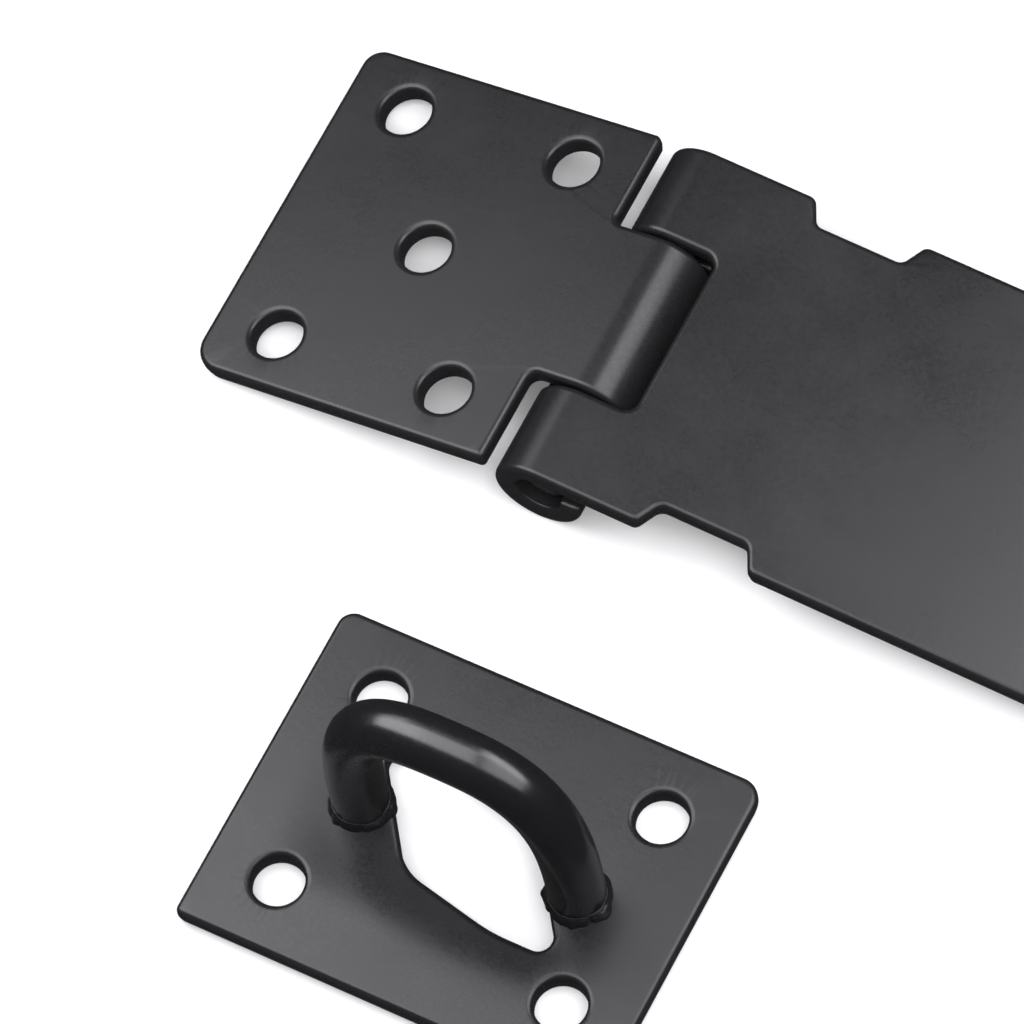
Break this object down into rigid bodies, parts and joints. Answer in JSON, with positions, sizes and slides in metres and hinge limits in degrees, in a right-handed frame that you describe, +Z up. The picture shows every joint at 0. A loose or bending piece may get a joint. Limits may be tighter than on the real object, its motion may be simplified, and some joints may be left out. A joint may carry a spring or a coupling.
{
  "type": "hasp and staple",
  "caption": "Black-coated steel hasp: screw-on leaf and slotted strap on a curled-knuckle hinge, with a separate screw-on staple plate carrying a welded round-bar loop.",
  "frame": {"origin": "on the surface the set lies on, under the middle of its bounding box", "axes": "+X along the strap towards its free end, +Y along the hinge pin away from the staple, +Z up from the surface"},
  "size_m": [0.1182, 0.0804, 0.0241],
  "materials": {
    "leaf_coat": "satin black coat on pressed steel sheet",
    "strap_coat": "satin black coat on pressed steel sheet",
    "pin_coat": "satin black coat on steel pin",
    "plate_coat": "satin black coat on pressed steel sheet",
    "loop_coat": "smoother satin black coat on round steel bar",
    "weld_coat": "black coat over a rough weld bead"
  },
  "bodies": {
    "leaf": {"fixed_leaf": "leaf_coat"},
    "strap": {"hasp_strap": "strap_coat", "hinge_pin": "pin_coat"},
    "staple": {"staple_plate": "plate_coat", "staple_loop": "loop_coat", "weld_bead_left": "weld_coat", "weld_bead_right": "weld_coat"}
  },
  "joints": [
    {"name": "strap_hinge", "type": "hinge", "parent": "leaf", "child": "strap", "pos_m": [-0.02495, 0.02312, 0.0041], "axis": [0, 1, 0], "range_deg": [-104.7, 165.3]},
    {"name": "staple_lift", "type": "slide", "parent": "leaf", "child": "staple", "axis": [0, 0, 1], "range_m": [0, 0.04]}
  ]
}
